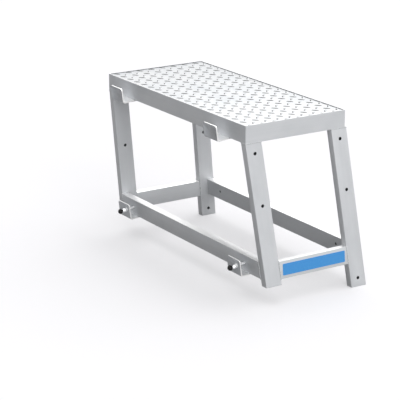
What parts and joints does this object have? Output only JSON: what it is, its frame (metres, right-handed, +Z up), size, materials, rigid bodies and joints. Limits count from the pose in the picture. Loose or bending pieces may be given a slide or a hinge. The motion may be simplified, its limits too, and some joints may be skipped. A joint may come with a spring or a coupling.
{
  "type": "work platform",
  "caption": "Welded aluminium work platform unit with a tread deck, leaning splayed legs, deck hooks and pinned rail brackets that join it to a next unit.",
  "frame": {"origin": "on the floor, under the middle of the whole unit's box; the back feet stand on z = 0", "axes": "+X along the deck to the end with the marking plate, +Y from the hook side to the back, +Z up, square to the level deck"},
  "size_m": [1.0994, 0.5948, 0.7],
  "materials": {
    "tube_aluminium": "mill finish, lightly brushed along the tube",
    "plate_aluminium": "mill finish plate with sheared edges",
    "tread_plate": "bright tread plate with raised bars",
    "pin_steel": "turned, zinc plated",
    "bright_steel": "polished",
    "knob_plastic": "gloss black",
    "ring_rubber": "matt black",
    "foot_plastic": "matt dark grey",
    "marking_plate": "plain blue, blank"
  },
  "bodies": {
    "frame": {"tread_plate": "tread_plate", "front_deck_rail": "tube_aluminium", "back_deck_rail": "tube_aluminium", "left_deck_rail": "tube_aluminium", "right_deck_rail": "tube_aluminium", "left_bearer": "tube_aluminium", "right_bearer": "tube_aluminium", "front_left_leg": "tube_aluminium", "front_right_leg": "tube_aluminium", "back_left_leg": "tube_aluminium", "back_right_leg": "tube_aluminium", "front_left_plug": "foot_plastic", "front_right_plug": "foot_plastic", "back_left_plug": "foot_plastic", "back_right_plug": "foot_plastic", "front_lower_rail": "tube_aluminium", "back_lower_rail": "tube_aluminium", "left_lower_rail": "tube_aluminium", "right_lower_rail": "tube_aluminium", "left_deck_hook": "plate_aluminium", "right_deck_hook": "plate_aluminium", "left_rail_bracket": "plate_aluminium", "right_rail_bracket": "plate_aluminium", "left_guide_bush": "pin_steel", "right_guide_bush": "pin_steel", "left_friction_ring": "ring_rubber", "right_friction_ring": "ring_rubber", "marking_plate": "marking_plate"},
    "left_pin": {"left_lock_pin": "pin_steel", "left_ferrule": "bright_steel", "left_pull_knob": "knob_plastic"},
    "right_pin": {"right_lock_pin": "pin_steel", "right_ferrule": "bright_steel", "right_pull_knob": "knob_plastic"}
  },
  "joints": [
    {"name": "left_pin_slide", "type": "slide", "parent": "frame", "child": "left_pin", "axis": [0, -0.9921, -0.1257], "range_m": [0, 0.0305]},
    {"name": "right_pin_slide", "type": "slide", "parent": "frame", "child": "right_pin", "axis": [0, -0.9921, -0.1257], "range_m": [0, 0.0305]}
  ]
}
